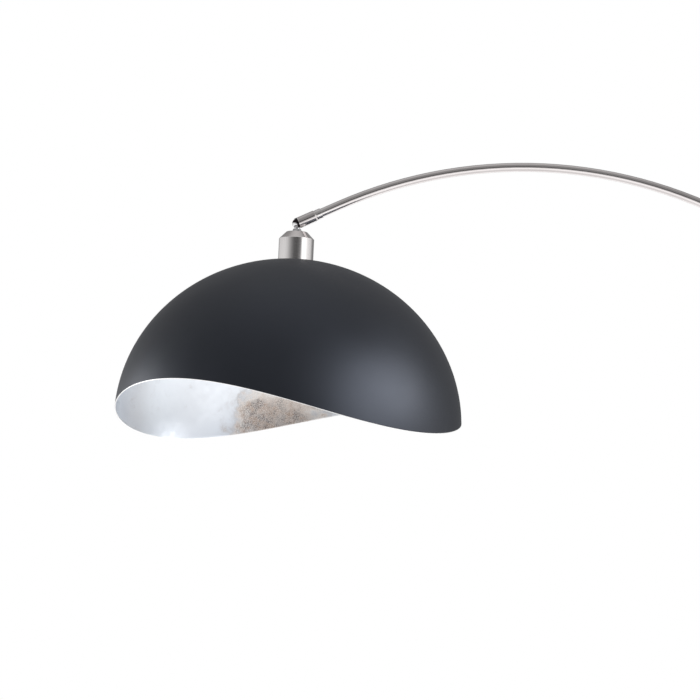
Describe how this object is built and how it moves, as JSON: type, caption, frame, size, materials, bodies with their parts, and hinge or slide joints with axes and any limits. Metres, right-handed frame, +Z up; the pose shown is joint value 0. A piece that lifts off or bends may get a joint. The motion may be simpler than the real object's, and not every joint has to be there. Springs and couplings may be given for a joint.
{
  "type": "arc floor lamp",
  "caption": "Arc floor lamp: a weighted base and pole carry a bent tube arm, with a domed shade that has a waved rim on a ball swivel.",
  "frame": {"origin": "on the floor under the middle of the base, on the pole's axis", "axes": "+Z up along the pole; the arm curves over towards -X in the XZ plane; Y is across the arm"},
  "size_m": [1.156, 0.3992, 1.7],
  "materials": {
    "nickel": "satin",
    "polished": "polished",
    "zinc": "satin",
    "brass": "satin",
    "iron": "matte",
    "felt": "matte",
    "rubber": "matte",
    "nylon": "satin",
    "holder_plastic": "satin",
    "lead_jacket": "satin",
    "shade_black": "satin",
    "opal_glass": "satin"
  },
  "bodies": {
    "stand": {"base_pad": "felt", "base_weight": "iron", "base_cover": "nickel", "base_flange": "nickel", "base_stud": "zinc", "base_washer": "zinc", "base_nut": "zinc", "cord_gland": "rubber", "pole_foot_plug": "zinc", "pole_lower": "nickel", "pole_joint": "nickel", "pole_upper": "nickel", "top_collar": "nickel", "guide_bush": "nylon", "pole_lead": "lead_jacket"},
    "lock_knob": {"lock_knob": "nickel"},
    "arm": {"arc_lower": "nickel", "arc_coupler": "nickel", "coupler_screws": "zinc", "arc_upper": "nickel", "end_collar": "nickel", "arm_lead": "lead_jacket"},
    "socket": {"ball_socket": "nickel", "ball_seat": "nylon", "seat_spring": "zinc"},
    "stem": {"ball_stem": "polished", "stem_washer": "zinc", "stem_nut": "zinc"},
    "head": {"cap": "nickel", "lampholder": "holder_plastic", "screw_shell": "brass", "centre_contact": "brass", "terminal_screws": "brass", "shade_ring": "holder_plastic", "shade": "shade_black", "bulb_glass": "opal_glass", "bulb_cap": "zinc", "head_lead": "lead_jacket"}
  },
  "joints": [
    {"name": "arm_turn", "type": "hinge", "parent": "stand", "child": "arm", "pos_m": [0, 0, 1.056], "axis": [0, 0, 1], "range_deg": [-160, 160]},
    {"name": "lock_turn", "type": "hinge", "parent": "stand", "child": "lock_knob", "pos_m": [0.02, 0, 1.056], "axis": [1, 0, 0], "range_deg": [0, 180]},
    {"name": "socket_turn", "type": "hinge", "parent": "arm", "child": "socket", "pos_m": [-0.7941, 0, 1.6277], "axis": [0.9135, 0, 0.4067], "range_deg": [-90, 90]},
    {"name": "head_tilt", "type": "hinge", "parent": "socket", "child": "stem", "pos_m": [-0.7941, 0, 1.6277], "axis": [0, 1, 0], "range_deg": [-22, 60]},
    {"name": "head_spin", "type": "hinge", "parent": "stem", "child": "head", "pos_m": [-0.80468, 0, 1.39464], "axis": [0.0454, 0, 0.999], "range_deg": [-170, 170]}
  ]
}
